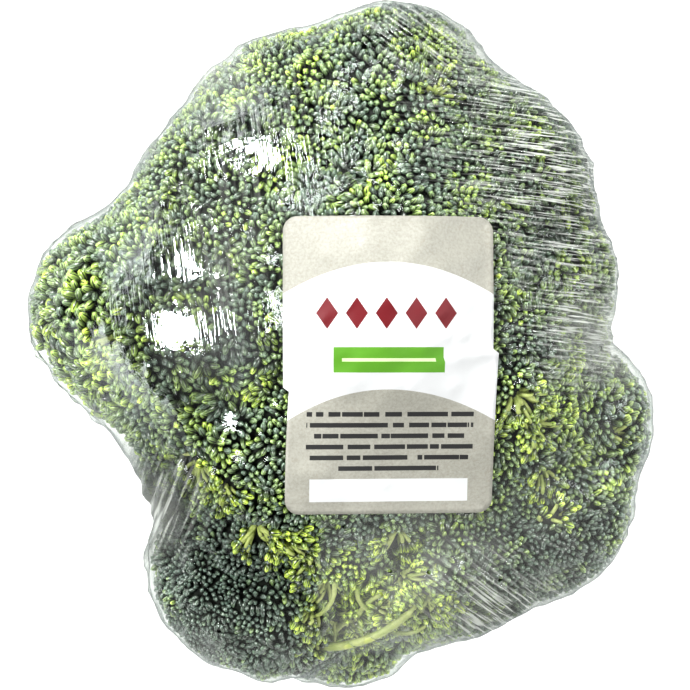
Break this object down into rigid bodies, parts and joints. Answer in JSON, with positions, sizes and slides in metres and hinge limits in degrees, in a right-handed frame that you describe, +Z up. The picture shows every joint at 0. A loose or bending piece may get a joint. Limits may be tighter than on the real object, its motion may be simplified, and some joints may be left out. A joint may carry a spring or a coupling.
{
  "type": "broccoli head",
  "caption": "Fresh broccoli head in clear perforated shrink film: a lobed green crown of flower buds on a cut pale stalk, with a plain paper label stuck on top.",
  "frame": {"origin": "the middle of the flat spot of film under the stalk's cut end, where the head stands", "axes": "+Z up along the stalk to the top of the crown, +Y along the head's longest side, towards the top of the label, +X to the label's right"},
  "size_m": [0.1559, 0.1705, 0.1151],
  "materials": {
    "stalk_flesh": "pale green plant flesh, slightly waxy, with a dry cut end",
    "flower_buds": "matte waxy flower buds, dark blue-green to yellow-green",
    "clear_film": "clear glossy shrink film with fine stretch wrinkles",
    "label_paper": "uncoated beige paper with a plain white panel"
  },
  "bodies": {
    "root": {"stalk": "stalk_flesh", "crown": "flower_buds", "film": "clear_film", "label": "label_paper"}
  },
  "joints": []
}
